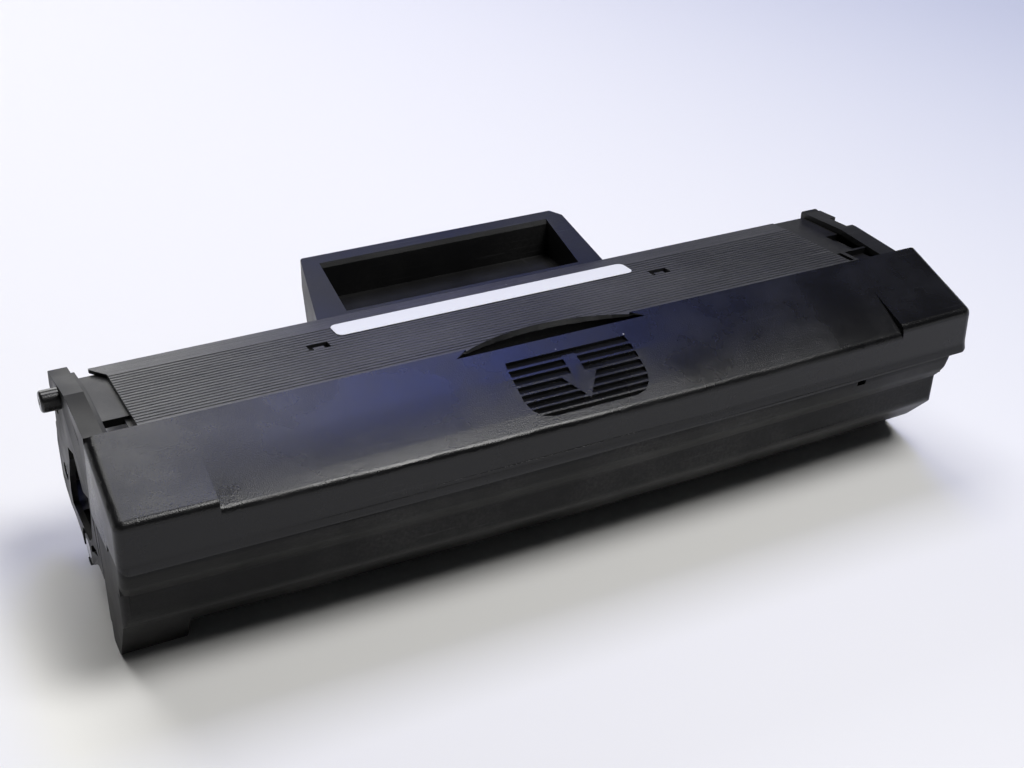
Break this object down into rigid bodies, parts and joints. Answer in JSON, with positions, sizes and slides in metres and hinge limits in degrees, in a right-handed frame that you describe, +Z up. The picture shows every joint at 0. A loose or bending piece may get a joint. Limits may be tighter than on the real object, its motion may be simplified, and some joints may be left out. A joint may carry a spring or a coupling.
{
  "type": "toner cartridge",
  "caption": "Long black drum and toner cartridge with a sloping ribbed top, thumb grip, rear handle loop, end caps with gears, and a side guide pin.",
  "frame": {"origin": "middle of the bounding box, at the floor under the feet", "axes": "+X from the gear end with the guide pin to the contact end, +Y from the front hood to the handle, +Z up"},
  "size_m": [0.2838, 0.1062, 0.0682],
  "materials": {
    "black_plastic": "textured moulding",
    "ribbed_plastic": "fine ribs, satin",
    "label_paper": "smooth, bare",
    "gear_plastic": "smooth acetal",
    "natural_plastic": "smooth acetal",
    "drum_coat": "polished coating",
    "roller_rubber": "ground smooth",
    "roller_foam": "open foam",
    "blade_rubber": "cast urethane",
    "steel": "ground",
    "spring_steel": "bright wire",
    "sheet_steel": "zinc plated",
    "contact_metal": "plated",
    "board": "solder mask",
    "film": "thin film",
    "felt": "felt"
  },
  "bodies": {
    "frame": {"front_hood": "black_plastic", "toner_hopper": "black_plastic", "fill_plug": "natural_plastic", "ribbed_top_cover": "ribbed_plastic", "label": "label_paper", "drum_frame": "black_plastic", "drive_end_cap": "black_plastic", "drive_liner": "black_plastic", "guide_pin": "black_plastic", "contact_end_cap": "black_plastic", "chip_board": "board", "chip_pads": "contact_metal", "case_screws": "sheet_steel", "drum_axles": "steel", "developer_bushes": "natural_plastic", "supply_bushes": "natural_plastic", "idler_pin": "steel", "agitator_bushes": "natural_plastic", "doctor_bracket": "sheet_steel", "doctor_blade": "spring_steel", "doctor_screws": "sheet_steel", "charge_blocks": "natural_plastic", "charge_springs": "spring_steel", "wiper_bracket": "sheet_steel", "wiper_blade": "blade_rubber", "waste_film": "film", "drum_end_seals": "felt", "developer_contact": "contact_metal", "drum_contact": "contact_metal"},
    "drum": {"drum_tube": "drum_coat", "drum_drive_gear": "gear_plastic", "drum_right_flange": "gear_plastic"},
    "developer": {"developer_sleeve": "roller_rubber", "developer_shaft": "steel", "developer_gear": "gear_plastic"},
    "supply": {"supply_foam": "roller_foam", "supply_shaft": "steel", "supply_gear": "gear_plastic"},
    "idler": {"idler_gear": "gear_plastic"},
    "agitator": {"agitator_shaft": "natural_plastic", "agitator_film": "film", "agitator_gear": "gear_plastic"},
    "charge": {"charge_rubber": "roller_rubber", "charge_shaft": "steel"}
  },
  "joints": [
    {"name": "drum_spin", "type": "hinge", "parent": "frame", "child": "drum", "pos_m": [0, 0.00065, 0.016], "axis": [1, 0, 0], "continuous": true},
    {"name": "developer_spin", "type": "hinge", "parent": "frame", "child": "developer", "pos_m": [0, -0.01612, 0.02211], "axis": [1, 0, 0], "continuous": true},
    {"name": "supply_spin", "type": "hinge", "parent": "frame", "child": "supply", "pos_m": [0, -0.02691, 0.01708], "axis": [1, 0, 0], "continuous": true},
    {"name": "idler_spin", "type": "hinge", "parent": "frame", "child": "idler", "pos_m": [0, -0.02946, 0.03155], "axis": [1, 0, 0], "continuous": true},
    {"name": "agitator_spin", "type": "hinge", "parent": "frame", "child": "agitator", "pos_m": [0, -0.0325, 0.04879], "axis": [1, 0, 0], "continuous": true},
    {"name": "charge_spin", "type": "hinge", "parent": "frame", "child": "charge", "pos_m": [0, -0.00079, 0.0325], "axis": [1, 0, 0], "continuous": true}
  ],
  "couplings": [
    {"joint": "developer_spin", "follows": "drum_spin", "ratio": -2.1875},
    {"joint": "supply_spin", "follows": "drum_spin", "ratio": 1.9444},
    {"joint": "idler_spin", "follows": "drum_spin", "ratio": -1.4583},
    {"joint": "agitator_spin", "follows": "drum_spin", "ratio": 1.3462},
    {"joint": "charge_spin", "follows": "drum_spin", "ratio": -2.6667}
  ]
}
